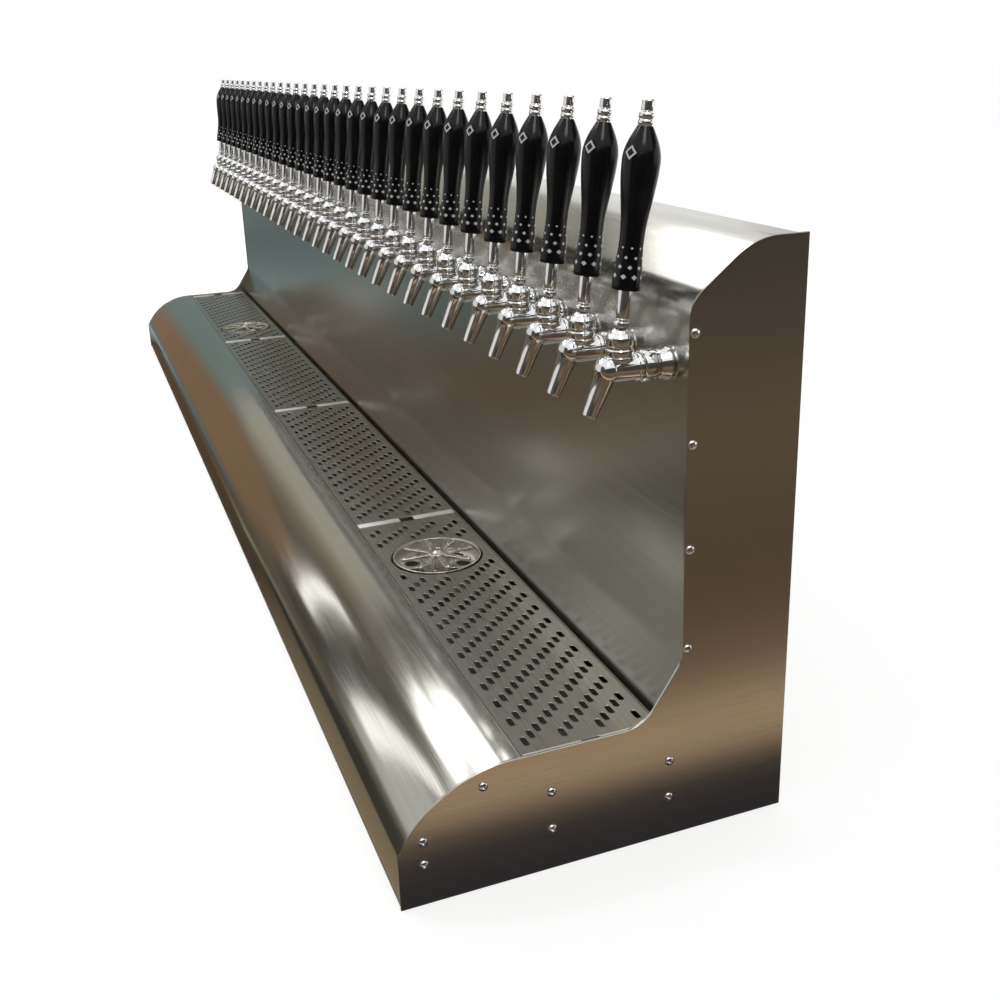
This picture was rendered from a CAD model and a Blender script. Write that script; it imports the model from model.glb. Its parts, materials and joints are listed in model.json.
import json
import math

import bmesh
import bpy
from mathutils import Matrix, Vector


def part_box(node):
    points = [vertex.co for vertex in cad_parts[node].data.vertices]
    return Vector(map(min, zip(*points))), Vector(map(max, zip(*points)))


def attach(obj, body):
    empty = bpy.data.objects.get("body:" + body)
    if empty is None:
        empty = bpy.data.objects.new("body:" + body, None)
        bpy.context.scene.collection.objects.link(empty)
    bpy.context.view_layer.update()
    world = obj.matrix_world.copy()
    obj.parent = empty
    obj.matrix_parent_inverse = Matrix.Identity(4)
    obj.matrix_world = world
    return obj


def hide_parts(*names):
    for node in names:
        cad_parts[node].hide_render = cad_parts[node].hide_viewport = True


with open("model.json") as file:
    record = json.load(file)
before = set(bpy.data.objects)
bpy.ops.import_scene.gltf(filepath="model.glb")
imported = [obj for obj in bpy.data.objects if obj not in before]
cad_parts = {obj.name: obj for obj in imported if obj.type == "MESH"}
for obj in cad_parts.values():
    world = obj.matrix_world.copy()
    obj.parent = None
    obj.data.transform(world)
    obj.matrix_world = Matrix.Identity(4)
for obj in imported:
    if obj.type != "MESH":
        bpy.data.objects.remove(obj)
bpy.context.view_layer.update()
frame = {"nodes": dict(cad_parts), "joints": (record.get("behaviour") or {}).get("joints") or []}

# Shapes are drawn in millimetres and scaled on the way into the scene
MM = 0.001


def box_mm(node):
    """Lowest and highest corner of a node, in millimetres."""
    low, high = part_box(node)
    return low / MM, high / MM


# Cabinet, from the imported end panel. Depths are measured back from the front edge
PANEL_LOW, PANEL_HIGH = box_mm("end_panel_right")
DEPTH = PANEL_HIGH.y - PANEL_LOW.y
HEIGHT = PANEL_HIGH.z
END_T = PANEL_HIGH.x - PANEL_LOW.x
INSIDE_X = PANEL_LOW.x
FRONT_Y = PANEL_LOW.y
SHEET = 1.5
PROUD = 1.0
BASE_T = 2.0
HEM = 28.0
HEM_R = 2.5
LIP_R = 2.0
LIP_Z = 128.0
NOSE_R = 124.0
NOSE_RUN = 112.0
NOSE_Z = LIP_Z - NOSE_R
TOE_Y = 242.5
WALL_Y = 282.0
KINK_Z = 188.0
CROWN_Y = 344.0
SHOULDER_Z = HEIGHT - 50.3
TOE_R = 40.0
KINK_R = 24.0
SKIN_KINK_R = 90.0
SHOULDER_R = 34.0
CROWN_R = 70.0
TRAY_FRONT = 121.0
TRAY_W = 143.5
PAN_BOTTOM = 92.5
LEDGE_Z = 110.0
COVER_Y = DEPTH - 3 * SHEET
EDGE_R = 0.4

# Grates
SLOT_L = 15.0
SLOT_W = 6.0
SLOT_STEP = 9.0
SLOT_SHIFT = 4
ROW_PITCH = 9.6
NOTCH_W = 20.0
NOTCH_D = 7.0
BAR_W = 5.5
GRATE_RIM = 5.0
BAR_H = 1.2
RINSER_HOLE_R = 58.5
SOLID_RIM = 3.0
CORNER_R = 1.5
FOLD_R = 0.3
BAR_R = 0.5

# Taps, about the lever pivot
PIVOT_RISE = 27.0
TAP_REACH = 47.0
LEAN = 7.5
BARREL_R = 11.5
BARREL_END = 19.0
NECK_R = 11.2
SPOUT_ROOT_Y = -11.5
ELBOW_R = 12.0
SPOUT_ROOT_R = 10.0
SPOUT_RUN = Vector((0.0, -18.0, -40.0))
SPOUT_TIP_R = 6.6
PASSAGE_R = 4.5
BONNET_R = 12.5
BONNET_FOOT = -15.0
BONNET_TOP = 5.0
BONNET_RIM_R = 9.8
BONNET_SHOULDER = 2.8
SPIGOT_R = 8.0
SPIGOT_L = 4.0
NUT_START = 19.3
NUT_L = 15.5
NUT_R = 14.5
NUT_BORE_R = 8.1
NUT_SLOTS = 4
NUT_SLOT_R = 2.2
NUT_SLOT_D = 2.0
NUT_SLOT_AT = 0.42
SLOT_CUTTER_L = 6.0
ROSETTE_R = 15.5
ROSETTE_L = 11.8
ROSETTE_BORE_R = 11.1

# Handles, along the lever from its pivot
BALL_R = 10.0
STEM_R = 4.0
COLLAR_R = 7.0
FERRULE_R = 6.15
LEVER_L = 42.0
GRIP_L = 135.0
FOOT_R = 12.5
FOOT_EDGE = 1.4
FOOT_LIFT = 0.05
WAIST_R = 10.5
WAIST_AT = 0.31
CROWN_GRIP_R = 16.2
CROWN_AT = 0.79
NECK_GRIP_R = 6.5
GRIP_STEPS = 14
FINIAL_L = 21.0
FINIAL_LIFT = 0.1
FINIAL_GROOVE = 0.7
BEAD_STEPS = (0.12, 0.3, 0.5, 0.7, 0.88)
BUTTON_EDGE = 1.2

# Segments round turned pieces
CUP_SEGMENTS = 72
GRIP_SEGMENTS = 56
TURNED_SEGMENTS = 48
CAST_SEGMENTS = 44
LEVER_SEGMENTS = 36
STEM_SEGMENTS = 32
HEAD_SEGMENTS = 24
CUTTER_SEGMENTS = 16

# Flat paths, with the steps of their arcs in degrees
SKIN_STEP = 1.5
FINE_STEP = 3.0
PATH_STEP = 4.0
DISC_STEP = 5.0
ROUND_STEP = 15.0
SLOT_ARC_STEP = 22.5
COARSE_STEP = 30.0
SPRAY_STEP = 45.0
ARC_SHARE = 0.49


def rounded(corners, radii, step=PATH_STEP):
    """Points of a path whose corners are arcs. Short straights cut a radius down."""
    points = []
    count = len(corners)
    for i, radius in enumerate(radii):
        corner = Vector(corners[i])
        if radius == 0:
            points.append(corner)
            continue
        back = Vector(corners[i - 1]) - corner
        ahead = Vector(corners[(i + 1) % count]) - corner
        half = back.angle(ahead) / 2
        reach = ARC_SHARE * min(back.length, ahead.length)
        radius = min(radius, reach * math.tan(half))
        back.normalize()
        ahead.normalize()
        centre = corner + (back + ahead).normalized() * (radius / math.sin(half))
        arm = corner + back * (radius / math.tan(half)) - centre
        turn = math.copysign(math.pi - 2 * half, -back.cross(ahead))
        steps = max(2, math.ceil(abs(math.degrees(turn)) / step))
        for k in range(steps + 1):
            points.append(centre + Matrix.Rotation(turn * k / steps, 2) @ arm)
    return points


def softened(corners, radius):
    """An open path with all its inner corners rounded alike."""
    return rounded(corners, [0] + [radius] * (len(corners) - 2) + [0], COARSE_STEP)


def arc(centre, radius, start, end, step=FINE_STEP):
    """Points round a circle, from one angle to another, in degrees."""
    steps = math.ceil(abs(end - start) / step)
    angles = [math.radians(start + (end - start) * k / steps) for k in range(steps + 1)]
    return [Vector(centre) + radius * Vector((math.cos(a), math.sin(a))) for a in angles]


def circle(centre, radius, step):
    """Closed circle, with its points a step apart in degrees."""
    return arc(centre, radius, 0, 360 - step, step)


def beside(path, distance):
    """The path moved to its left by a distance."""
    moved = []
    for i, point in enumerate(path):
        before = path[max(i, 1)] - path[max(i, 1) - 1]
        after = path[min(i, len(path) - 2) + 1] - path[min(i, len(path) - 2)]
        a = Vector((-before.y, before.x)).normalized()
        b = Vector((-after.y, after.x)).normalized()
        moved.append(point + (a + b) * (distance / (1 + a.dot(b))))
    return moved


def rectangle(low, high, radius):
    """Closed rectangle with round corners."""
    corners = [(low[0], low[1]), (high[0], low[1]), (high[0], high[1]), (low[0], high[1])]
    return rounded(corners, [radius] * 4, COARSE_STEP)


def obround(x, y, length, width):
    """Closed slot outline along X."""
    half = (length - width) / 2
    right = arc((x + half, y), width / 2, -90, 90, SLOT_ARC_STEP)
    return right + arc((x - half, y), width / 2, 90, 270, SLOT_ARC_STEP)


# Mesh building. Points closer than a weld are joined, in millimetres here and in metres in the CAD
ON_AXIS = 1e-6
WELD = 1e-4
CAD_WELD = 1e-6
SMOOTH_ANGLE = 34.0
GRIP_SMOOTH_ANGLE = 50.0


def lathe(profile, segments):
    """Points and faces of a radius and height profile turned about Z."""
    points = []
    rings = []
    for radius, height in profile:
        if radius < ON_AXIS:
            rings.append([len(points)] * segments)
            points.append((0.0, 0.0, height))
            continue
        rings.append(list(range(len(points), len(points) + segments)))
        for k in range(segments):
            a = 2 * math.pi * k / segments
            points.append((radius * math.cos(a), radius * math.sin(a), height))
    faces = []
    for low, high in zip(rings, rings[1:]):
        for k in range(segments):
            n = (k + 1) % segments
            corners = list(dict.fromkeys([low[k], low[n], high[n], high[k]]))
            if len(corners) > 2:
                faces.append(corners)
    return points, faces


def plate(outline, holes, thickness, edge=EDGE_R):
    """Mesh of a flat plate about the XY plane, with holes and chamfered edges."""
    curve = bpy.data.curves.new("plate", "CURVE")
    curve.dimensions = "2D"
    curve.fill_mode = "BOTH"
    curve.extrude = thickness / 2 - edge
    curve.bevel_depth = edge
    curve.bevel_resolution = 0
    curve.offset = -edge
    for loop in [outline] + holes:
        spline = curve.splines.new("POLY")
        spline.points.add(len(loop) - 1)
        for point, place in zip(spline.points, loop):
            point.co = (place[0], place[1], 0, 1)
        spline.use_cyclic_u = True
    holder = bpy.data.objects.new("plate", curve)
    bpy.context.scene.collection.objects.link(holder)
    shown = holder.evaluated_get(bpy.context.evaluated_depsgraph_get())
    mesh = bpy.data.meshes.new_from_object(shown)
    bpy.data.objects.remove(holder)
    bpy.data.curves.remove(curve)
    return mesh


class Build:
    """One mesh put together from turned, flat and swept forms, in millimetres."""

    def __init__(self):
        self.bm = bmesh.new()

    def add(self, form, place=Matrix(), index=0):
        """Adds points and faces, moved to their place, with a material index."""
        points, faces = form
        verts = [self.bm.verts.new(place @ Vector(p)) for p in points]
        for face in faces:
            self.bm.faces.new([verts[i] for i in face]).material_index = index
        return self

    def add_mesh(self, mesh, place=Matrix(), index=0):
        """Adds a mesh, which is used up."""
        points = [v.co.copy() for v in mesh.vertices]
        faces = [list(p.vertices) for p in mesh.polygons]
        bpy.data.meshes.remove(mesh)
        return self.add((points, faces), place, index)

    def add_bar(self, low, high, radius, index=0):
        """Adds a block with round edges along its upright corners and its rims."""
        rim = plate(rectangle(low, high, radius), [], high[2] - low[2], radius)
        return self.add_mesh(rim, Matrix.Translation((0, 0, (low[2] + high[2]) / 2)), index)

    def mesh(self, name, smooth=SMOOTH_ANGLE):
        """The finished mesh, in metres, smooth across edges under an angle."""
        bmesh.ops.remove_doubles(self.bm, verts=self.bm.verts, dist=WELD)
        bmesh.ops.recalc_face_normals(self.bm, faces=self.bm.faces)
        bmesh.ops.scale(self.bm, vec=(MM, MM, MM), verts=self.bm.verts)
        mesh = bpy.data.meshes.new(name)
        self.bm.to_mesh(mesh)
        self.bm.free()
        mesh.shade_smooth()
        mesh.set_sharp_from_angle(angle=math.radians(smooth))
        return mesh


def put(mesh, name, materials, body, nodes, place=Matrix()):
    """Stands a mesh in the scene as a piece that rides a body and stands for CAD nodes."""
    if not mesh.materials:
        for material in materials:
            mesh.materials.append(material)
    piece = bpy.data.objects.new(name, mesh)
    bpy.context.scene.collection.objects.link(piece)
    piece.matrix_world = place
    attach(piece, body)
    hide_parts(*nodes)


def combined(base, others, operation):
    """A mesh joined with, or cut by, other meshes as solids. All are used up."""
    holder = bpy.data.objects.new("base", base)
    bpy.context.scene.collection.objects.link(holder)
    tools = []
    for mesh in others:
        tool = bpy.data.objects.new("tool", mesh)
        bpy.context.scene.collection.objects.link(tool)
        tools.append(tool)
        step = holder.modifiers.new("step", "BOOLEAN")
        step.operation = operation
        step.solver = "EXACT"
        step.object = tool
    shown = holder.evaluated_get(bpy.context.evaluated_depsgraph_get())
    result = bpy.data.meshes.new_from_object(shown)
    for thing in [holder] + tools:
        used = thing.data
        bpy.data.objects.remove(thing)
        bpy.data.meshes.remove(used)
    return result


def solid(form, place=Matrix()):
    """A closed form as a mesh in millimetres, for joining and cutting."""
    build = Build().add(form, place)
    bmesh.ops.recalc_face_normals(build.bm, faces=build.bm.faces)
    mesh = bpy.data.meshes.new("solid")
    build.bm.to_mesh(mesh)
    build.bm.free()
    return mesh


def islands(node):
    """Boxes, in millimetres, of the separate solids in a CAD node."""
    bm = bmesh.new()
    bm.from_mesh(frame["nodes"][node].data)
    bmesh.ops.remove_doubles(bm, verts=bm.verts, dist=CAD_WELD)
    bm.verts.ensure_lookup_table()
    seen = set()
    boxes = []
    for start in bm.verts:
        if start.index in seen:
            continue
        seen.add(start.index)
        group = [start]
        for vert in group:
            for edge in vert.link_edges:
                other = edge.other_vert(vert)
                if other.index not in seen:
                    seen.add(other.index)
                    group.append(other)
        low = Vector([min(v.co[i] for v in group) for i in range(3)]) / MM
        high = Vector([max(v.co[i] for v in group) for i in range(3)]) / MM
        boxes.append((low, high))
    bm.free()
    return boxes


# Finishes


def rgba(colour):
    return (*colour, 1.0)


def feed(tree, socket, value):
    """Links a socket to another one, or sets its value."""
    if isinstance(value, bpy.types.NodeSocket):
        tree.links.new(value, socket)
    else:
        socket.default_value = value


def add_node(tree, kind, inputs=None, **settings):
    """A new node, with its sockets linked or set."""
    node = tree.nodes.new(kind)
    for key, value in settings.items():
        setattr(node, key, value)
    for socket, value in (inputs or {}).items():
        feed(tree, node.inputs[socket], value)
    return node


class Finish:
    """A material whose even values sit on its shader and whose varied ones come from nodes."""

    def __init__(self, name, **values):
        self.material = bpy.data.materials.new(name)
        self.material.use_nodes = True
        self.tree = self.material.node_tree
        self.shader = self.tree.nodes["Principled BSDF"]
        for socket, value in values.items():
            self.shader.inputs[socket.replace("_", " ")].default_value = value
        self.coords = self.node("ShaderNodeTexCoord").outputs["Object"]

    def node(self, kind, inputs=None, **settings):
        return add_node(self.tree, kind, inputs, **settings)

    def math(self, operation, a, b=0.0):
        return self.node("ShaderNodeMath", {0: a, 1: b}, operation=operation).outputs[0]

    def noise(self, scale, detail=2.0):
        """Noise over the object, with its own scale per metre along each axis."""
        sides = {0: self.coords, 1: scale}
        stretched = self.node("ShaderNodeVectorMath", sides, operation="MULTIPLY").outputs[0]
        inputs = {"Vector": stretched, "Scale": 1.0, "Detail": detail}
        return self.node("ShaderNodeTexNoise", inputs).outputs[0]

    def remap(self, value, low, high, start=0.3, end=0.7):
        """Brings a value from one range, by default the middle of a noise, to another."""
        inputs = {"Value": value, "From Min": start, "From Max": end, "To Min": low, "To Max": high}
        return self.node("ShaderNodeMapRange", inputs).outputs[0]

    def blend(self, factor, a, b):
        """Mixes two colours. The mix node takes them at its seventh and eighth socket."""
        return self.node("ShaderNodeMix", {0: factor, 6: a, 7: b}, data_type="RGBA").outputs[2]

    def relief(self, height, strength, distance, under=None):
        inputs = {"Height": height, "Strength": strength, "Distance": distance}
        if under is not None:
            inputs["Normal"] = under
        return self.node("ShaderNodeBump", inputs).outputs[0]

    def wear(self, colour, roughness, normal):
        """Links the varied values to the shader."""
        for socket, value in (("Base Color", colour), ("Roughness", roughness), ("Normal", normal)):
            feed(self.tree, self.shader.inputs[socket], value)
        return self.material


def along(axis, with_grain, across):
    """Noise scales for a grain that runs along one axis."""
    return tuple(with_grain if i == axis else across for i in range(3))


# Brushed steel: noise per metre with and across the grain, and relief as strength and distance
ALONG_X, ALONG_Y = 0, 1
GRAIN_MAP = "across"
SCRATCHES = (9.0, 1400.0)
STREAKS = (1.4, 420.0)
CLOUD = (2.3, 2.3, 2.3)
STREAK_SHARE = 0.4
ROUGH_SPREAD = 0.035
BUCKLE_RELIEF = (0.08, 0.02)
SCRATCH_RELIEF = (0.04, 0.0002)


def brushed(name, dark, light, axis, rough, anisotropy=0.0):
    """Brushed steel: scratches and streaks along an axis, cloudy tone, slightly uneven sheet."""
    finish = Finish(name, Metallic=1.0, Anisotropic=anisotropy)
    scratches = finish.noise(along(axis, *SCRATCHES))
    streaks = finish.math("MULTIPLY", finish.noise(along(axis, *STREAKS)), STREAK_SHARE)
    cloud = finish.noise(CLOUD)
    tone = finish.math("ADD", streaks, finish.math("MULTIPLY", cloud, 1 - STREAK_SHARE))
    colour = finish.blend(finish.remap(tone, 0.0, 1.0), rgba(dark), rgba(light))
    roughness = finish.remap(scratches, rough - ROUGH_SPREAD, rough + ROUGH_SPREAD)
    buckle = finish.relief(cloud, *BUCKLE_RELIEF)
    normal = finish.relief(scratches, *SCRATCH_RELIEF, buckle)
    if anisotropy:
        tangent = finish.node("ShaderNodeTangent", direction_type="UV_MAP", uv_map=GRAIN_MAP)
        feed(finish.tree, finish.shader.inputs["Tangent"], tangent.outputs[0])
    return finish.wear(colour, roughness, normal)


# Chrome
SMEARS = (60.0, 60.0, 25.0)
SMEAR_DETAIL = 3.0
MARKS = (420.0, 420.0, 420.0)
MARK_ROUGHNESS = 0.03
SMEAR_RELIEF = (0.06, 0.0008)


def polished(name, dark, light, rough):
    """Polished chrome with faint smears and water marks."""
    finish = Finish(name, Metallic=1.0)
    smears = finish.noise(SMEARS, SMEAR_DETAIL)
    marks = finish.remap(finish.noise(MARKS), 0.0, MARK_ROUGHNESS)
    colour = finish.blend(finish.remap(smears, 0.0, 1.0), rgba(dark), rgba(light))
    roughness = finish.math("ADD", finish.remap(smears, rough * 0.5, rough * 1.5), marks)
    return finish.wear(colour, roughness, finish.relief(smears, *SMEAR_RELIEF))


# Grips. Their print is placed by heights over the lever pivot, turned from the front to the right
LACQUER_DARK = (0.004, 0.004, 0.005)
LACQUER_LIGHT = (0.009, 0.009, 0.010)
LACQUER_SPECULAR = 0.22
LACQUER_ROUGH = (0.12, 0.2)
LACQUER_MOTTLE = (160.0, 160.0, 40.0)
MOTTLE_DETAIL = 3.0
MOTTLE_RELIEF = (0.05, 0.0005)
PRINT_COLOUR = (0.72, 0.72, 0.70)
PRINT_TURN = 24.0
EMBLEM_Z = 155.0
EMBLEM_HALF = 6.0
EMBLEM_HOLE = 0.6
BAND_Z = 50.0
BAND_PITCH = 8.0
BAND_ROWS = 4
BAND_COUNT = 8
BAND_FIRST = 0.3
BAND_LAST = 0.12


def lozenge(finish, across, up):
    """How far a point lies out from the middle of a lozenge whose edge is at 1."""
    return finish.math("ADD", finish.math("ABSOLUTE", across), finish.math("ABSOLUTE", up))


def between(finish, value, low, high):
    """1 where a value lies between two others."""
    above = finish.math("GREATER_THAN", value, low)
    return finish.math("MULTIPLY", finish.math("LESS_THAN", value, high), above)


def off_centre(finish, value):
    """Place within a cell of a repeating pattern, from its middle."""
    return finish.math("SUBTRACT", finish.math("FRACT", value), 0.5)


def grip_black(name):
    """Black lacquer, a hollow lozenge near the top and a band of small lozenges at the foot."""
    finish = Finish(name, Specular_IOR_Level=LACQUER_SPECULAR)
    mottle = finish.noise(LACQUER_MOTTLE, MOTTLE_DETAIL)
    cloud = finish.remap(mottle, 0.0, 1.0)
    ground = finish.blend(cloud, rgba(LACQUER_DARK), rgba(LACQUER_LIGHT))
    tilt = {"Vector": finish.coords, "Angle": math.radians(LEAN)}
    straight = finish.node("ShaderNodeVectorRotate", tilt, rotation_type="X_AXIS").outputs[0]
    turn = {"Vector": straight, "Angle": math.radians(-PRINT_TURN)}
    faced = finish.node("ShaderNodeVectorRotate", turn, rotation_type="Z_AXIS").outputs[0]
    parts = finish.node("ShaderNodeSeparateXYZ", {0: faced}).outputs
    x, y, z = parts["X"], parts["Y"], parts["Z"]
    across = finish.math("DIVIDE", x, EMBLEM_HALF * MM)
    rise = finish.math("SUBTRACT", z, EMBLEM_Z * MM)
    reach = lozenge(finish, across, finish.math("DIVIDE", rise, EMBLEM_HALF * MM))
    in_front = finish.math("LESS_THAN", y, 0.0)
    emblem = finish.math("MULTIPLY", between(finish, reach, EMBLEM_HOLE, 1.0), in_front)
    row = finish.math("DIVIDE", finish.math("SUBTRACT", z, BAND_Z * MM), BAND_PITCH * MM)
    shift = finish.math("MULTIPLY", finish.math("FLOOR", row), 0.5)
    turns = finish.math("MULTIPLY", finish.math("ARCTAN2", y, x), BAND_COUNT / (2 * math.pi))
    column = finish.math("ADD", turns, shift)
    size = finish.remap(row, BAND_FIRST, BAND_LAST, 0.0, BAND_ROWS)
    across = finish.math("DIVIDE", off_centre(finish, column), size)
    up = finish.math("DIVIDE", off_centre(finish, row), size)
    spots = finish.math("LESS_THAN", lozenge(finish, across, up), 1.0)
    band = finish.math("MULTIPLY", spots, between(finish, row, 0.0, BAND_ROWS))
    colour = finish.blend(finish.math("MAXIMUM", emblem, band), ground, rgba(PRINT_COLOUR))
    roughness = finish.remap(mottle, *LACQUER_ROUGH)
    return finish.wear(colour, roughness, finish.relief(mottle, *MOTTLE_RELIEF))


PANEL_STEEL = brushed("panel_steel", (0.47, 0.455, 0.42), (0.55, 0.535, 0.49), ALONG_Y, 0.22, 0.5)
SHEET_STEEL = brushed("sheet_steel", (0.47, 0.46, 0.42), (0.56, 0.55, 0.50), ALONG_X, 0.21, 0.75)
APRON_STEEL = brushed("apron_steel", (0.51, 0.50, 0.46), (0.60, 0.59, 0.54), ALONG_X, 0.13, 0.6)
PLAIN_STEEL = brushed("plain_steel", (0.48, 0.47, 0.43), (0.57, 0.56, 0.51), ALONG_X, 0.3)
DARK_STEEL = brushed("dark_steel", (0.20, 0.195, 0.18), (0.30, 0.29, 0.26), ALONG_X, 0.42)
GRATE_STEEL = brushed("grate_steel", (0.29, 0.28, 0.25), (0.39, 0.38, 0.34), ALONG_X, 0.3)
BAR_STEEL = brushed("bar_steel", (0.82, 0.81, 0.78), (0.94, 0.93, 0.91), ALONG_Y, 0.36)
STAR_STEEL = brushed("star_steel", (0.50, 0.48, 0.43), (0.66, 0.64, 0.58), ALONG_X, 0.28)
CHROME = polished("chrome", (0.74, 0.74, 0.75), (0.90, 0.90, 0.91), 0.07)
GRIP_BLACK = grip_black("grip_black")

# End panels


def panel_outline():
    """Closed outline of an end panel, as depth and height."""
    nose_foot = math.degrees(math.acos(-NOSE_RUN / NOSE_R))
    corners = [
        (0.0, 0.0), (DEPTH, 0.0), (DEPTH, HEIGHT), (CROWN_Y, HEIGHT), (WALL_Y, SHOULDER_Z),
        (WALL_Y, KINK_Z), (TOE_Y, LIP_Z), (NOSE_RUN, LIP_Z),
    ]
    radii = [0.0, 0.0, 0.0, CROWN_R, SHOULDER_R, KINK_R, TOE_R, 0.0]
    return rounded(corners, radii) + arc((NOSE_RUN, NOSE_Z), NOSE_R, 90, nose_foot)[1:]


def upright(x):
    """Stands a flat plate up across the length, with its face towards X."""
    return Matrix(((0, 0, 1, x), (1, 0, 0, FRONT_Y), (0, 1, 0, 0), (0, 0, 0, 1)))


def map_grain(mesh, spread):
    """Writes a map whose first direction runs across the grain."""
    layer = mesh.uv_layers.new(name=GRAIN_MAP)
    for loop in mesh.loops:
        layer.data[loop.index].uv = spread(mesh.vertices[loop.vertex_index].co)


for side, name in ((-1, "end_panel_left"), (1, "end_panel_right")):
    face = plate(panel_outline(), [], END_T)
    panel = Build().add_mesh(face, upright(side * (INSIDE_X + END_T / 2))).mesh(name)
    map_grain(panel, lambda place: (place.z, place.y))
    put(panel, name + "_plate", [PANEL_STEEL], "tower", [name])

# Bent sheets


def bent_sheet(name, path, material):
    """Sheet swept along the length. The path is its outer face, with the metal to its left."""
    ring = path + beside(path, SHEET)
    count = len(path)
    far = len(ring)
    points = [Vector((x, p.x + FRONT_Y, p.y)) for x in (-INSIDE_X, INSIDE_X) for p in ring]
    faces = []
    for i in range(count - 1):
        a, b = i, i + 1
        c, d = count + i, count + i + 1
        faces += [(a, b, far + b, far + a), (c, far + c, far + d, d)]
        faces += [(a, c, d, b), (far + a, far + b, far + d, far + c)]
    for i in (0, count - 1):
        faces.append((i, far + i, far + count + i, count + i))
    mesh = Build().add((points, faces)).mesh(name)
    run = [0.0]
    for a, b in zip(path, path[1:]):
        run.append(run[-1] + (b - a).length * MM)

    def unrolled(place):
        flat = Vector((place.y / MM - FRONT_Y, place.z / MM))
        nearest = min(range(count), key=lambda k: (path[k] - flat).length_squared)
        return run[nearest], place.x

    map_grain(mesh, unrolled)
    put(mesh, name + "_sheet", [material], "tower", [name])


def apron_path():
    """Outer face of the apron, from the tray over lip and nose to the hem under the front."""
    reach = NOSE_R - PROUD
    nose_foot = math.degrees(math.acos((PROUD - NOSE_RUN) / reach))
    nose = arc((NOSE_RUN, NOSE_Z), reach, nose_foot, 90)
    hem = [(PROUD + HEM, BASE_T), (PROUD, BASE_T), (PROUD, nose[0].y)]
    lip_z = LIP_Z - PROUD
    lip = [(NOSE_RUN, lip_z), (TRAY_FRONT, lip_z), (TRAY_FRONT, LEDGE_Z)]
    front = rounded(hem, [0, HEM_R, 0])[:-1] + nose
    return (front + rounded(lip, [0, LIP_R, 0])[1:])[::-1]


def skin_path():
    """Outer face of the tower sheet, from the hem behind the top to the foot behind the tray.

    It takes its kink in a wider bend than the outline of the end panels does.
    """
    top = HEIGHT - PROUD
    wall = WALL_Y + PROUD
    corners = [
        (COVER_Y, top - HEM), (COVER_Y, top), (CROWN_Y, top), (wall, SHOULDER_Z), (wall, KINK_Z),
        (TRAY_FRONT + TRAY_W, PAN_BOTTOM),
    ]
    return rounded(corners, [0, HEM_R, CROWN_R - PROUD, SHOULDER_R, SKIN_KINK_R, 0], SKIN_STEP)


bent_sheet("front_apron", apron_path(), APRON_STEEL)
bent_sheet("tower_skin", skin_path(), SHEET_STEEL)

# Screws
HEAD_R = 4.5
HEAD_H = 2.4
HEAD_RIM = 0.5
HEAD_DOME = (0.35, 0.7, 1.0)
SOCKET_R = 1.5
SOCKET_DEPTH = 1.6
FLAT_TURN = math.pi / 3


def socket_head():
    """Domed head with a hexagon socket, standing on the XY plane."""
    dome = HEAD_H - HEAD_RIM
    profile = [(HEAD_R, 0.0), (HEAD_R, HEAD_RIM)]
    profile += [(HEAD_R * math.cos(a), HEAD_RIM + dome * math.sin(a)) for a in HEAD_DOME]
    points, faces = lathe(profile, HEAD_SEGMENTS)
    rings = [list(range(len(points) - HEAD_SEGMENTS, len(points)))]
    for height in (HEAD_H, HEAD_H - SOCKET_DEPTH):
        rings.append(list(range(len(points), len(points) + HEAD_SEGMENTS)))
        for k in range(HEAD_SEGMENTS):
            a = 2 * math.pi * k / HEAD_SEGMENTS
            reach = SOCKET_R / math.cos((a + FLAT_TURN / 2) % FLAT_TURN - FLAT_TURN / 2)
            points.append((reach * math.cos(a), reach * math.sin(a), height))
    for low, high in zip(rings, rings[1:]):
        for k in range(HEAD_SEGMENTS):
            n = (k + 1) % HEAD_SEGMENTS
            faces.append([low[k], low[n], high[n], high[k]])
    faces.append(rings[-1])
    faces.append(list(range(HEAD_SEGMENTS))[::-1])
    return points, faces


def on_end(low, high):
    """Place of a head on the end panel, from the box of its screw."""
    side = math.copysign(1, low.x)
    seat = (side * (INSIDE_X + END_T), (low.y + high.y) / 2, (low.z + high.z) / 2)
    return Matrix.Translation(seat) @ Matrix.Rotation(side * math.pi / 2, 4, "Y")


def on_cover(low, high):
    """Place of a head on the rear cover, from the box of its screw."""
    seat = ((low.x + high.x) / 2, COVER_Y + SHEET + FRONT_Y, (low.z + high.z) / 2)
    return Matrix.Translation(seat) @ Matrix.Rotation(-math.pi / 2, 4, "X")


for node, place in (("end_panel_screws", on_end), ("rear_cover_screws", on_cover)):
    heads = Build()
    for low, high in islands(node):
        heads.add(socket_head(), place(low, high))
    put(heads.mesh(node), node + "_heads", [CHROME], "tower", [node])

# Drip grates


def grate_slots(x0, x1, mid, width, cup_x):
    """Slot outlines in staggered rows, clear of the finger notches and the rinser opening."""
    rows = 1 + math.floor((width - SLOT_W - 2 * GRATE_RIM) / ROW_PITCH)
    first = math.ceil((x0 + BAR_W + SLOT_L) / SLOT_STEP)
    last = math.floor((x1 - BAR_W - SLOT_L) / SLOT_STEP)
    slots = []
    for row in range(rows):
        y = mid + (row - (rows - 1) / 2) * ROW_PITCH
        in_line = abs(y - mid) < (NOTCH_W + SLOT_W) / 2 + SOLID_RIM
        for n in range(first, last + 1):
            if (n + row) % SLOT_SHIFT:
                continue
            x = n * SLOT_STEP
            at_notch = in_line and min(x - x0, x1 - x) - SLOT_L / 2 < NOTCH_D + SOLID_RIM
            at_cup = math.hypot(x - cup_x, y - mid) < RINSER_HOLE_R + SLOT_L / 2 + SOLID_RIM
            if not at_notch and not at_cup:
                slots.append(obround(x, y, SLOT_L, SLOT_W))
    return slots


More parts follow.
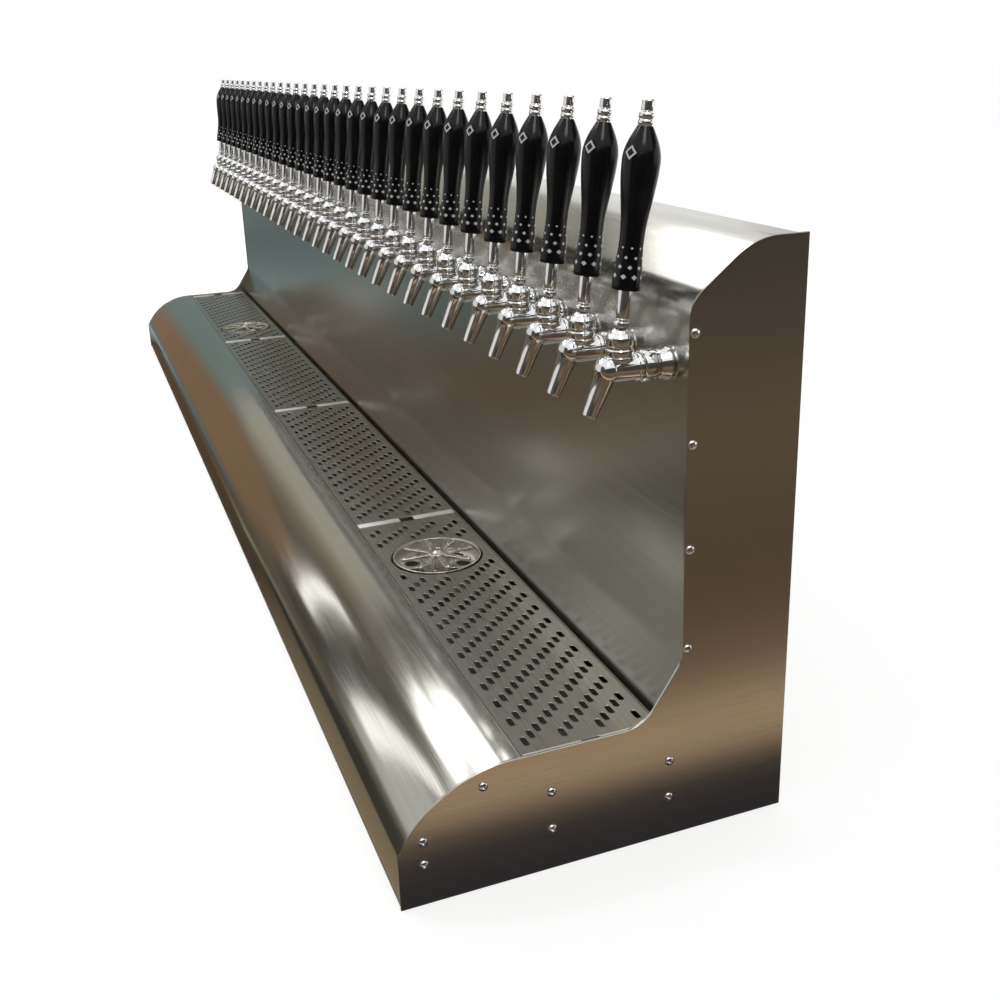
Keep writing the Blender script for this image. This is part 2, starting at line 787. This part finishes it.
def notched(x0, x1, y0, y1, mid):
    """Closed outline of a grate with a finger notch at each end."""
    low, high = mid - NOTCH_W / 2, mid + NOTCH_W / 2
    corners = [
        (x0, y0), (x1, y0), (x1, low), (x1 - NOTCH_D, low), (x1 - NOTCH_D, high), (x1, high),
        (x1, y1), (x0, y1), (x0, high), (x0 + NOTCH_D, high), (x0 + NOTCH_D, low), (x0, low),
    ]
    return rounded(corners, [CORNER_R] * len(corners), COARSE_STEP)


def drip_grate(number, cup_x):
    """Perforated tray with folded edges and two raised end bars, each parted by its notch."""
    node = f"drip_grate_{number}"
    low, high = box_mm(node)
    mid = (low.y + high.y) / 2
    fold_top = high.z - BAR_H - SHEET / 2
    holes = grate_slots(low.x, high.x, mid, high.y - low.y, cup_x)
    if low.x < cup_x < high.x:
        holes.append(circle((cup_x, mid), RINSER_HOLE_R, FINE_STEP))
    face = plate(notched(low.x, high.x, low.y, high.y, mid), holes, SHEET)
    build = Build().add_mesh(face, Matrix.Translation((0, 0, fold_top)))
    for y in (low.y, high.y - SHEET):
        build.add_bar((low.x, y, low.z), (high.x, y + SHEET, fold_top), FOLD_R)
    halves = ((low.y + SHEET, mid - NOTCH_W / 2), (mid + NOTCH_W / 2, high.y - SHEET))
    for fold_x, bar_x in ((low.x, low.x), (high.x - SHEET, high.x - BAR_W)):
        for start, end in halves:
            build.add_bar((fold_x, start, low.z), (fold_x + SHEET, end, fold_top), FOLD_R)
            build.add_bar((bar_x, start, fold_top), (bar_x + BAR_W, end, high.z), BAR_R, 1)
    steels = [GRATE_STEEL, BAR_STEEL]
    put(build.mesh(node), node + "_tray", steels, f"grate_{number}", [node])


def middle(node):
    low, high = box_mm(node)
    return (low + high) / 2


RINSERS = [middle(f"rinser_star_{number}") for number in (1, 2)]
for number in (1, 2, 3, 4):
    drip_grate(number, RINSERS[(number - 1) // 2].x)

# Rinsers
CUP_RIM = box_mm("rinser_cups")[1].z
CUP_H = 14.0
CUP_FLOOR = CUP_RIM - CUP_H
CUP_R = 56.0
CUP_FOOT_R = 52.0
CUP_DISC_R = 51.0
CUP_T = 2.0
DISC_EDGE = 0.3
PORTS = 8
PORT_R = 9.0
BOSS_R = 16.0
BOSS_FOOT = PAN_BOTTOM + SHEET
ARMS = 8
ARM_W = 7.0
ARM_END = 44.5
ARM_EDGE = 0.6
SPRAY_R = 1.1
SPRAY_AT = (ARM_END, 0.66 * ARM_END)
HUB_R = 12.0
HUB_RIM = 1.0
STAR_T = 4.0
STAR_STEM_R = 6.0
STAR_STEM_FOOT = PAN_BOTTOM + 2.0
STEM_TUCK = 0.5
NOZZLE_H = 2.5


def rinser_cup(number, centre):
    """Flared cup with a rolled rim, and drain ports round a boss."""
    place = Matrix.Translation((centre.x, centre.y, 0))
    inner_r = CUP_R - CUP_T
    inner_foot = CUP_FOOT_R - CUP_T
    wall = softened([
        (inner_foot, CUP_FLOOR + CUP_T), (inner_r - 0.4, CUP_RIM - 1.5), (inner_r, CUP_RIM),
        (CUP_R, CUP_RIM), (CUP_R, CUP_RIM - 1.8), (CUP_R - 1, CUP_RIM - 2.4),
        (CUP_FOOT_R, CUP_FLOOR), (inner_foot, CUP_FLOOR), (inner_foot, CUP_FLOOR + CUP_T)], 0.7)
    port_ring = (BOSS_R + inner_foot) / 2
    ports = []
    for k in range(PORTS):
        a = 2 * math.pi * (k + 0.5) / PORTS
        port = (port_ring * math.cos(a), port_ring * math.sin(a))
        ports.append(circle(port, PORT_R, ROUND_STEP))
    disc = plate(circle((0, 0), CUP_DISC_R, DISC_STEP), ports, CUP_T, DISC_EDGE)
    boss = softened([(0, CUP_FLOOR), (BOSS_R, CUP_FLOOR), (BOSS_R, BOSS_FOOT), (0, BOSS_FOOT)], 0.6)
    build = Build().add(lathe(wall, CUP_SEGMENTS), place)
    build.add_mesh(disc, place @ Matrix.Translation((0, 0, CUP_FLOOR + CUP_T / 2)))
    build.add(lathe(boss, TURNED_SEGMENTS), place)
    name = f"rinser_cup_{number}"
    put(build.mesh(name), name, [STAR_STEEL], "tower", ["rinser_cups"])


def rinser_star(number, centre):
    """Hub with spray arms, each with two spray holes, and a nozzle on its stem."""
    node = f"rinser_star_{number}"
    top = box_mm(node)[1].z
    base = top - NOZZLE_H - HUB_RIM - STAR_T
    half = math.pi / ARMS
    tip = arc((ARM_END, 0), ARM_W / 2, -90, 90, ROUND_STEP)
    root = Matrix.Rotation(half, 2) @ Vector((ARM_W / 2 / math.sin(half), 0))
    outline = []
    holes = []
    for k in range(ARMS):
        turn = Matrix.Rotation(2 * math.pi * k / ARMS, 2)
        outline += [turn @ p for p in tip + [root]]
        holes += [circle(turn @ Vector((reach, 0)), SPRAY_R, SPRAY_STEP) for reach in SPRAY_AT]
    place = Matrix.Translation((centre.x, centre.y, 0))
    arms = plate(outline, holes, STAR_T, ARM_EDGE)
    hub_low, hub_high = base - HUB_RIM, base + STAR_T + HUB_RIM
    hub = softened([
        (0, hub_low), (HUB_R, hub_low), (HUB_R, hub_high), (HUB_R / 2, hub_high), (HUB_R / 4, top),
        (0, top)], 0.8)
    stem_top = base - STEM_TUCK
    stem = [
        (0, STAR_STEM_FOOT), (STAR_STEM_R, STAR_STEM_FOOT), (STAR_STEM_R, stem_top), (0, stem_top),
    ]
    build = Build().add_mesh(arms, place @ Matrix.Translation((0, 0, base + STAR_T / 2)))
    build.add(lathe(hub, TURNED_SEGMENTS), place).add(lathe(stem, STEM_SEGMENTS), place)
    put(build.mesh(node), node + "_head", [STAR_STEEL], f"rinser_{number}", [node])


for number, rinser in enumerate(RINSERS, 1):
    rinser_cup(number, rinser)
for number, rinser in enumerate(RINSERS, 1):
    rinser_star(number, rinser)

# Faucets. Profiles give radius and height, for a lathe


def to_back(z, along_y=0.0):
    """Turns a lathe so that its axis runs back along Y, at a height."""
    turn = Matrix.Rotation(-math.pi / 2, 4, "X")
    return Matrix.Translation((0, 0, z)) @ turn @ Matrix.Translation((0, 0, along_y))


def ball_profile(radius, end, step):
    """Profile of a ball about its centre, from its foot up to an angle in degrees."""
    angles = [math.radians(a) for a in range(0, end + 1, step)]
    return [(radius * math.sin(a), -radius * math.cos(a)) for a in angles]


def cast_body(axis):
    """Barrel, elbow, spout and the neck that holds the lever ball, as one casting."""
    barrel_rim = BARREL_R + 1.2
    barrel = softened([
        (0, SPOUT_ROOT_Y), (BARREL_R, SPOUT_ROOT_Y), (BARREL_R, BARREL_END - 4.5),
        (barrel_rim, BARREL_END - 3.8), (barrel_rim, BARREL_END), (SPIGOT_R, BARREL_END),
        (SPIGOT_R, BARREL_END + SPIGOT_L), (0, BARREL_END + SPIGOT_L)], 0.7)
    waist, rim = NECK_R - 0.6, BONNET_R + 0.6
    neck = softened([
        (0, axis), (waist, axis), (waist, BONNET_FOOT - 4.2), (rim, BONNET_FOOT - 3),
        (rim, BONNET_FOOT - 0.2), (NECK_R, BONNET_FOOT - 0.2), (NECK_R, -0.2), (10.2, -0.2),
        (9.2, -4.5), (7.2, -7.3), (6.0, -8.3), (6.0, -14.0), (0, -14.0)], 0.4)
    length = SPOUT_RUN.length
    spout = softened([
        (0, 0), (SPOUT_ROOT_R, 0), (SPOUT_TIP_R + 0.2, length - 3), (SPOUT_TIP_R, length),
        (PASSAGE_R + 0.8, length), (PASSAGE_R, length - 14), (0, length - 14)], 0.6)
    aim = SPOUT_RUN.to_track_quat("Z", "X").to_matrix().to_4x4()
    root = Matrix.Translation((0, SPOUT_ROOT_Y, axis))
    elbow = ball_profile(ELBOW_R, 180, 9)
    others = [(elbow, root), (neck, Matrix()), (spout, root @ aim)]
    return combined(
        solid(lathe(barrel, CAST_SEGMENTS), to_back(axis)),
        [solid(lathe(profile, CAST_SEGMENTS), place) for profile, place in others], "UNION")


def coupling_nut():
    """Ring nut with a stepped rim and spanner slots."""
    step_r = NUT_R - 1.2
    nut = softened([
        (NUT_BORE_R, 0), (NUT_R - 1.6, 0), (NUT_R, 1.6), (NUT_R, NUT_L - 4), (step_r, NUT_L - 3),
        (step_r, NUT_L), (NUT_BORE_R, NUT_L), (NUT_BORE_R, 0)], 0.7)
    cutter = [(0, 0), (NUT_SLOT_R, 0), (NUT_SLOT_R, SLOT_CUTTER_L), (0, SLOT_CUTTER_L)]
    lay = Matrix.Translation((NUT_R - NUT_SLOT_D, 0, NUT_L * NUT_SLOT_AT))
    lay = lay @ Matrix.Rotation(math.pi / 2, 4, "Y")
    slots = []
    for k in range(NUT_SLOTS):
        turn = Matrix.Rotation(math.radians(360 / NUT_SLOTS * (k + 0.5)), 4, "Z")
        slots.append(solid(lathe(cutter, CUTTER_SEGMENTS), turn @ lay))
    return combined(solid(lathe(nut, CAST_SEGMENTS)), slots, "DIFFERENCE")


def faucet_mesh():
    """One faucet about its lever pivot: cast body, bonnet, coupling nut and wall flange."""
    axis = -PIVOT_RISE
    bore, groove = NECK_R + 0.1, BONNET_R - 0.8
    bonnet = softened([
        (bore, BONNET_FOOT), (BONNET_R, BONNET_FOOT), (BONNET_R, -9.4), (groove, -8.4),
        (groove, -6), (BONNET_R, -5), (BONNET_R, BONNET_SHOULDER - 1), (BONNET_RIM_R, BONNET_TOP),
        (BONNET_RIM_R - 1, BONNET_TOP), (9.5, 3.5), (9.9, 2.3), (bore, 2.3), (bore, BONNET_FOOT)],
        0.5)
    flange = softened([
        (ROSETTE_BORE_R, 0), (NUT_R - 1.5, 0), (NUT_R - 0.8, ROSETTE_L * 0.3),
        (ROSETTE_R - 0.8, ROSETTE_L * 0.6), (ROSETTE_R, ROSETTE_L * 0.75), (ROSETTE_R, ROSETTE_L),
        (ROSETTE_BORE_R, ROSETTE_L), (ROSETTE_BORE_R, 0)], 1.5)
    build = Build().add_mesh(cast_body(axis)).add(lathe(bonnet, TURNED_SEGMENTS))
    build.add_mesh(coupling_nut(), to_back(axis, NUT_START))
    build.add(lathe(flange, TURNED_SEGMENTS), to_back(axis, TAP_REACH - ROSETTE_L))
    return build.mesh("faucet")


# Handles
LEANING = Matrix.Rotation(math.radians(-LEAN), 4, "X")


def ease(t):
    return (1 - math.cos(math.pi * t)) / 2


def mix(a, b, t):
    return a + (b - a) * t


def grip_mesh():
    """Turned grip: flared foot, slim waist, full crown and a long tapered shoulder."""
    waist, crown = WAIST_AT * GRIP_L, CROWN_AT * GRIP_L
    profile = [
        (0, FOOT_LIFT), (FOOT_R - FOOT_EDGE, FOOT_LIFT), (FOOT_R - 0.4, 0.35), (FOOT_R, FOOT_EDGE),
    ]
    rise = [k / GRIP_STEPS for k in range(1, GRIP_STEPS + 1)]
    profile += [(mix(FOOT_R, WAIST_R, ease(t)), mix(FOOT_EDGE, waist, t)) for t in rise]
    profile += [(mix(WAIST_R, CROWN_GRIP_R, ease(t)), mix(waist, crown, t)) for t in rise]
    for t in rise:
        fullness = math.cos(math.pi / 2 * t)
        profile.append((mix(NECK_GRIP_R, CROWN_GRIP_R, fullness), mix(crown, GRIP_L, t)))
    profile.append((0, GRIP_L))
    build = Build().add(
        lathe(profile, GRIP_SEGMENTS), LEANING @ Matrix.Translation((0, 0, LEVER_L)))
    return build.mesh("grip", GRIP_SMOOTH_ANGLE)


def finial_profile():
    """Two beaded rings and a button, over the grip."""
    base = LEVER_L + GRIP_L + FINIAL_LIFT
    top = base + FINIAL_L
    ring_r, ring_h = NECK_GRIP_R + 0.3, 0.23 * FINIAL_L
    groove_r = ring_r - FINIAL_GROOVE
    button_r = 0.25 * FINIAL_L
    foot_r = button_r - 1.5
    rings_top = base + 2 * ring_h + FINIAL_GROOVE
    profile = [(0, base)]
    for foot in (base, base + ring_h + FINIAL_GROOVE):
        profile.append((groove_r, foot))
        for t in BEAD_STEPS:
            depth = FINIAL_GROOVE * (1 - math.sin(math.pi * t))
            profile.append((ring_r - depth, foot + ring_h * t))
        profile.append((groove_r, foot + ring_h))
    button = softened([
        (groove_r, rings_top), (foot_r, rings_top), (foot_r, rings_top + 1),
        (button_r, rings_top + 1), (button_r, top - BUTTON_EDGE), (button_r - BUTTON_EDGE, top),
        (0, top)], 0.8)
    return profile + button[1:]


def lever_mesh():
    """Lever ball, friction collar, ferrule and the finial over the grip."""
    waist = FERRULE_R - 1.2
    stem = softened([
        (STEM_R, 8), (STEM_R, BALL_R + 0.4), (COLLAR_R, BALL_R + 0.5),
        (COLLAR_R, BALL_R + 0.5 + STEM_R), (waist, BALL_R + 0.6 + STEM_R),
        (waist, BALL_R + 2.6 + STEM_R), (FERRULE_R, BALL_R + 3.6 + STEM_R), (FERRULE_R, LEVER_L),
        (0, LEVER_L)], 0.6)
    build = Build()
    for profile in (ball_profile(BALL_R, 150, 10), stem, finial_profile()):
        build.add(lathe(profile, LEVER_SEGMENTS), LEANING)
    return build.mesh("lever")


faucet, grip, lever = faucet_mesh(), grip_mesh(), lever_mesh()
FAUCET_NODES = ["faucet_bodies", "faucet_bonnets", "coupling_nuts", "shank_flanges"]
for joint in frame["joints"]:
    if joint["type"] != "hinge":
        continue
    body = joint["child"]
    number = body[-2:]
    handle = [f"tap_handle_{number}"]
    pivot = Matrix.Translation(joint["pos_m"])
    put(faucet, f"faucet_{number}", [CHROME], "tower", FAUCET_NODES, pivot)
    put(grip, f"grip_{number}", [GRIP_BLACK], body, handle, pivot)
    put(lever, f"lever_{number}", [CHROME], body, handle, pivot)

# Solids that keep their own shape
CARRIED = {
    "rear_cover": PLAIN_STEEL, "base_plate": DARK_STEEL, "drip_pan": DARK_STEEL,
    "tray_rail_front": DARK_STEEL, "tray_rail_rear": DARK_STEEL, "shank_bar": DARK_STEEL,
    "shanks": CHROME, "shank_locknuts": CHROME, "tail_nuts": CHROME, "tail_pieces": CHROME,
    "drain_outlets": CHROME, "pan_locknuts": CHROME,
}
for name, material in CARRIED.items():
    solid_mesh = frame["nodes"][name].data
    solid_mesh.materials.clear()
    solid_mesh.materials.append(material)

# Stage: a pale floor that keeps the shadow, cards for the metal to mirror, and soft lights
FLOOR_HALF = 60.0
FLOOR_COLOUR = 0.8
WORLD_LEVEL = 0.5
FLOOR_LIFT = 1.0 - FLOOR_COLOUR * WORLD_LEVEL


def shown_rays(tree):
    """1 for rays that see the background straight, mirrored or through glass."""
    rays = add_node(tree, "ShaderNodeLightPath").outputs
    total = rays["Is Camera Ray"]
    for name in ("Is Glossy Ray", "Is Transmission Ray"):
        pair = {0: total, 1: rays[name]}
        total = add_node(tree, "ShaderNodeMath", pair, operation="MAXIMUM").outputs[0]
    return total


def bare_material(name):
    """A material with an output and nothing else."""
    material = bpy.data.materials.new(name)
    material.use_nodes = True
    material.node_tree.nodes.clear()
    return material, material.node_tree, material.node_tree.nodes.new("ShaderNodeOutputMaterial")


def floor_material():
    """Matt and pale, with a glow that lifts it to white where it shows."""
    material, tree, out = bare_material("floor")
    matt = add_node(tree, "ShaderNodeBsdfDiffuse", {"Color": rgba([FLOOR_COLOUR] * 3)})
    pair = {0: shown_rays(tree), 1: FLOOR_LIFT}
    strength = add_node(tree, "ShaderNodeMath", pair, operation="MULTIPLY")
    glow = add_node(tree, "ShaderNodeEmission", {"Strength": strength.outputs[0]})
    both = add_node(tree, "ShaderNodeAddShader", {0: matt.outputs[0], 1: glow.outputs[0]})
    feed(tree, out.inputs["Surface"], both.outputs[0])
    return material


def card_material(name, axis, start, end, stops):
    """An even glow whose colour changes along one axis of the room."""
    material, tree, out = bare_material(name)
    coords = add_node(tree, "ShaderNodeTexCoord").outputs["Object"]
    place = add_node(tree, "ShaderNodeSeparateXYZ", {0: coords}).outputs[axis]
    span = {"Value": place, "From Min": start, "From Max": end}
    share = add_node(tree, "ShaderNodeMapRange", span).outputs[0]
    ramp = add_node(tree, "ShaderNodeValToRGB", {"Fac": share})
    elements = ramp.color_ramp.elements
    while len(elements) < len(stops):
        elements.new(0.5)
    for element, (stop, colour) in zip(elements, stops):
        element.position = (stop - start) / (end - start)
        element.color = rgba(colour)
    glow = add_node(tree, "ShaderNodeEmission", {"Color": ramp.outputs[0]})
    feed(tree, out.inputs["Surface"], glow.outputs[0])
    return material


def stage_plane(name, corners, material):
    mesh = bpy.data.meshes.new(name)
    mesh.from_pydata(corners, [], [(0, 1, 2, 3)])
    mesh.materials.append(material)
    plane = bpy.data.objects.new(name, mesh)
    bpy.context.scene.collection.objects.link(plane)
    return plane


def card(name, corners, axis, span, stops):
    """A studio card that only mirrors show: it lights nothing and shades nothing."""
    plane = stage_plane(name, corners, card_material(name, axis, *span, stops))
    plane.visible_camera = False
    plane.visible_diffuse = False
    plane.visible_transmission = False
    plane.visible_shadow = False


def lying(x_span, y_span, z):
    (x0, x1), (y0, y1) = x_span, y_span
    return [(x0, y0, z), (x1, y0, z), (x1, y1, z), (x0, y1, z)]


def standing(a, b, z_span):
    z0, z1 = z_span
    return [(*a, z0), (*b, z0), (*b, z1), (*a, z1)]


# Cards, by their spans in metres. Their tones are set at places along one axis
ROOM_LEFT, ROOM_RIGHT = -5.0, 4.5
ROOM_FRONT, ROOM_BACK = -4.0, 4.0
PART_LEFT, PART_RIGHT = -1.225, 1.2195
LEFT_FRONT, LEFT_BACK = -5.0, 1.3
ROOM_X, ROOM_Y = (ROOM_LEFT, ROOM_RIGHT), (ROOM_FRONT, ROOM_BACK)
RIGHT_FLOOR_X, RIGHT_TONES_X = (PART_RIGHT, 5.0), (1.22, 4.0)
FRONT_X, FRONT_TONES_X = (PART_LEFT, PART_RIGHT), (-1.2, 1.2)
FRONT_EDGE_Y, FRONT_FLOOR_Y = (-0.25, -0.1985), (ROOM_FRONT, -0.25)
LEFT_FLOOR_X, LEFT_EDGE_X = (ROOM_LEFT, PART_LEFT), (-3.4, PART_LEFT)
LEFT_FLOOR_Y, LEFT_EDGE_Y = (ROOM_FRONT, LEFT_BACK), (-0.45, LEFT_BACK)
LEFT_Y = (LEFT_FRONT, LEFT_BACK)
LOW_Z, HIGH_Z, TOP_Z = (0.0, 1.6), (1.6, 3.4), (3.4, 4.1)
FRONT_Z, RIGHT_Z, BACK_Z = (0.0, 3.6), (0.0, 2.2), (1.9, 4.5)
CARD_LIFT = 0.0004
FLOOR_SPAN = (-FLOOR_HALF, FLOOR_HALF)


def left_wall(z_span):
    return standing((ROOM_LEFT, LEFT_FRONT), (ROOM_LEFT, LEFT_BACK), z_span)


def across_room(y, z_span):
    return standing((ROOM_LEFT, y), (ROOM_RIGHT, y), z_span)


stage_plane("floor", lying(FLOOR_SPAN, FLOOR_SPAN, 0.0), floor_material())
card("card_right_floor", lying(RIGHT_FLOOR_X, ROOM_Y, CARD_LIFT), "X", RIGHT_TONES_X, [
    (1.22, (0.04, 0.038, 0.042)), (1.3, (0.05, 0.045, 0.046)), (1.35, (0.66, 0.48, 0.3)),
    (1.41, (0.6, 0.43, 0.27)), (1.48, (0.2, 0.135, 0.09)), (1.7, (0.11, 0.08, 0.055)),
    (2.3, (0.19, 0.14, 0.09)), (3.9, (0.05, 0.045, 0.04))])
card("card_front_edge", lying(FRONT_X, FRONT_EDGE_Y, CARD_LIFT), "X", FRONT_TONES_X, [
    (-1.2, (0.11, 0.07, 0.045)), (0.4, (0.07, 0.05, 0.035)), (0.65, (0.15, 0.115, 0.075)),
    (0.9, (0.22, 0.175, 0.115)), (1.2, (0.27, 0.21, 0.135))])
card("card_front_floor", lying(FRONT_X, FRONT_FLOOR_Y, CARD_LIFT), "X", FRONT_TONES_X, [
    (-1.2, (0.13, 0.17, 0.17)), (-0.8, (0.12, 0.085, 0.055)), (-0.1, (0.13, 0.1, 0.065)),
    (0.1, (0.2, 0.18, 0.13)), (0.19, (0.28, 0.27, 0.21)), (0.28, (0.12, 0.11, 0.085)),
    (0.42, (0.04, 0.04, 0.034)), (1.2, (0.06, 0.055, 0.045))])
card("card_left_floor", lying(LEFT_FLOOR_X, LEFT_FLOOR_Y, CARD_LIFT), "Y", LEFT_FLOOR_Y, [
    (-4.0, (0.1, 0.08, 0.06)), (-1.3, (0.14, 0.12, 0.09)), (-0.7, (0.14, 0.19, 0.2)),
    (1.3, (0.15, 0.21, 0.22))])
card("card_left_edge", lying(LEFT_EDGE_X, LEFT_EDGE_Y, 2 * CARD_LIFT), "X", LEFT_EDGE_X, [
    (-3.4, (0.1, 0.125, 0.13)), (-2.5, (0.15, 0.2, 0.21)), (-1.95, (0.22, 0.27, 0.27)),
    (-1.65, (0.42, 0.44, 0.42)), (-1.42, (0.28, 0.28, 0.265)), (-1.25, (0.05, 0.05, 0.045))])
card("card_left_low", left_wall(LOW_Z), "Y", LEFT_Y, [
    (-5.0, (0.06, 0.055, 0.045)), (-3.0, (0.07, 0.065, 0.05)), (-2.3, (0.24, 0.16, 0.09)),
    (-1.0, (0.27, 0.17, 0.1)), (-0.5, (0.2, 0.25, 0.24)), (1.3, (0.2, 0.26, 0.26))])
card("card_left_high", left_wall(HIGH_Z), "Y", LEFT_Y, [
    (-5.0, (0.07, 0.065, 0.055)), (-1.9, (0.12, 0.11, 0.09)), (-1.2, (0.24, 0.2, 0.15)),
    (-0.4, (0.46, 0.44, 0.37)), (1.3, (0.46, 0.47, 0.44))])
card("card_left_top", left_wall(TOP_Z), "Z", TOP_Z, [
    (3.4, (0.13, 0.12, 0.1)), (4.1, (0.16, 0.15, 0.13))])
card("card_front", across_room(ROOM_FRONT, FRONT_Z), "X", ROOM_X, [
    (-5.0, (0.6, 0.6, 0.58)), (0.9, (0.8, 0.8, 0.78)), (1.7, (0.09, 0.085, 0.075)),
    (4.5, (0.08, 0.075, 0.065))])
RIGHT_WALL = standing((ROOM_RIGHT, ROOM_FRONT), (ROOM_RIGHT, ROOM_BACK), RIGHT_Z)
card("card_right", RIGHT_WALL, "Z", RIGHT_Z, [
    (0.0, (0.05, 0.045, 0.04)), (2.2, (0.07, 0.065, 0.06))])
card("card_back", across_room(ROOM_BACK, BACK_Z), "Z", BACK_Z, [
    (1.9, (0.1, 0.09, 0.08)), (4.5, (0.16, 0.15, 0.14))])


def world_light():
    """White where it shows, and a plain level where it lights."""
    world = bpy.data.worlds.new("studio")
    bpy.context.scene.world = world
    world.use_nodes = True
    tree = world.node_tree
    levels = {"Value": shown_rays(tree), "To Min": WORLD_LEVEL, "To Max": 1.0}
    strength = add_node(tree, "ShaderNodeMapRange", levels).outputs[0]
    background = tree.nodes["Background"].inputs
    feed(tree, background["Color"], (1, 1, 1, 1))
    feed(tree, background["Strength"], strength)


def softbox(name, low, high, width, target, power):
    """An oblong lamp that reaches from one point to another and faces a target."""
    low, high = Vector(low), Vector(high)
    place = (low + high) / 2
    length = (high - low).normalized()
    back = place - Vector(target)
    back = (back - length * back.dot(length)).normalized()
    lamp = bpy.data.lights.new(name, "AREA")
    lamp.shape = "RECTANGLE"
    lamp.size, lamp.size_y = width, (high - low).length
    lamp.energy = power
    holder = bpy.data.objects.new(name, lamp)
    bpy.context.scene.collection.objects.link(holder)
    turn = Matrix((length.cross(back), length, back)).transposed().to_4x4()
    holder.matrix_world = Matrix.Translation(place) @ turn
    return holder


world_light()
softbox("top", (-2.42, -0.4, 2.78), (-2.36, 1.25, 2.78), 0.45, (1.15, -0.1, 0.12), 8.0)
softbox("low", (-2.8, -1.5, 2.76), (-2.8, -0.6, 2.82), 0.45, (1.12, -0.14, 0.12), 3.2)
softbox("key", (-0.45, -1.5, 2.9), (0.05, -1.5, 2.9), 0.5, (1.0, 0.0, 0.5), 8.0)
glint = softbox("glint", (1.77, 0.0, 2.62), (2.58, -0.33, 2.02), 0.6, (1.18, 0.04, 0.62), 12.0)
glint.visible_diffuse = False
softbox("strip_far", (-3.24, -2.18, 0.62), (-3.11, -1.42, 1.8), 0.14, (0.78, -0.16, 0.1), 1.4)
softbox("strip_near", (-2.8, -2.68, 0.5), (-2.55, -2.08, 2.35), 0.28, (1.03, -0.16, 0.1), 2.8)

# Camera at the photograph's angle, for a square frame
FRAME_PX = 1000.0
SENSOR = 36.0
FOCAL_PX = 1162.012
CENTRE_PX = (522.171, 452.294)
EYE = Vector((2.05873547, -0.4014597, 0.72228918))
FORWARD = Vector((-0.8813403, 0.34657089, -0.32113533))
RIGHT = Vector((0.37347475, 0.92732436, -0.02421011))
CLIP_END = 200.0

camera = bpy.data.cameras.new("camera")
camera.sensor_width = SENSOR
camera.lens = FOCAL_PX / FRAME_PX * SENSOR
camera.shift_x = (FRAME_PX / 2 - CENTRE_PX[0]) / FRAME_PX
camera.shift_y = (CENTRE_PX[1] - FRAME_PX / 2) / FRAME_PX
camera.clip_end = CLIP_END
viewer = bpy.data.objects.new("camera", camera)
bpy.context.scene.collection.objects.link(viewer)
facing = Matrix((RIGHT, RIGHT.cross(FORWARD), -FORWARD)).transposed().to_4x4()
viewer.matrix_world = Matrix.Translation(EYE) @ facing
bpy.context.scene.camera = viewer
bpy.context.scene.view_settings.view_transform = "Standard"

bpy.context.view_layer.update()
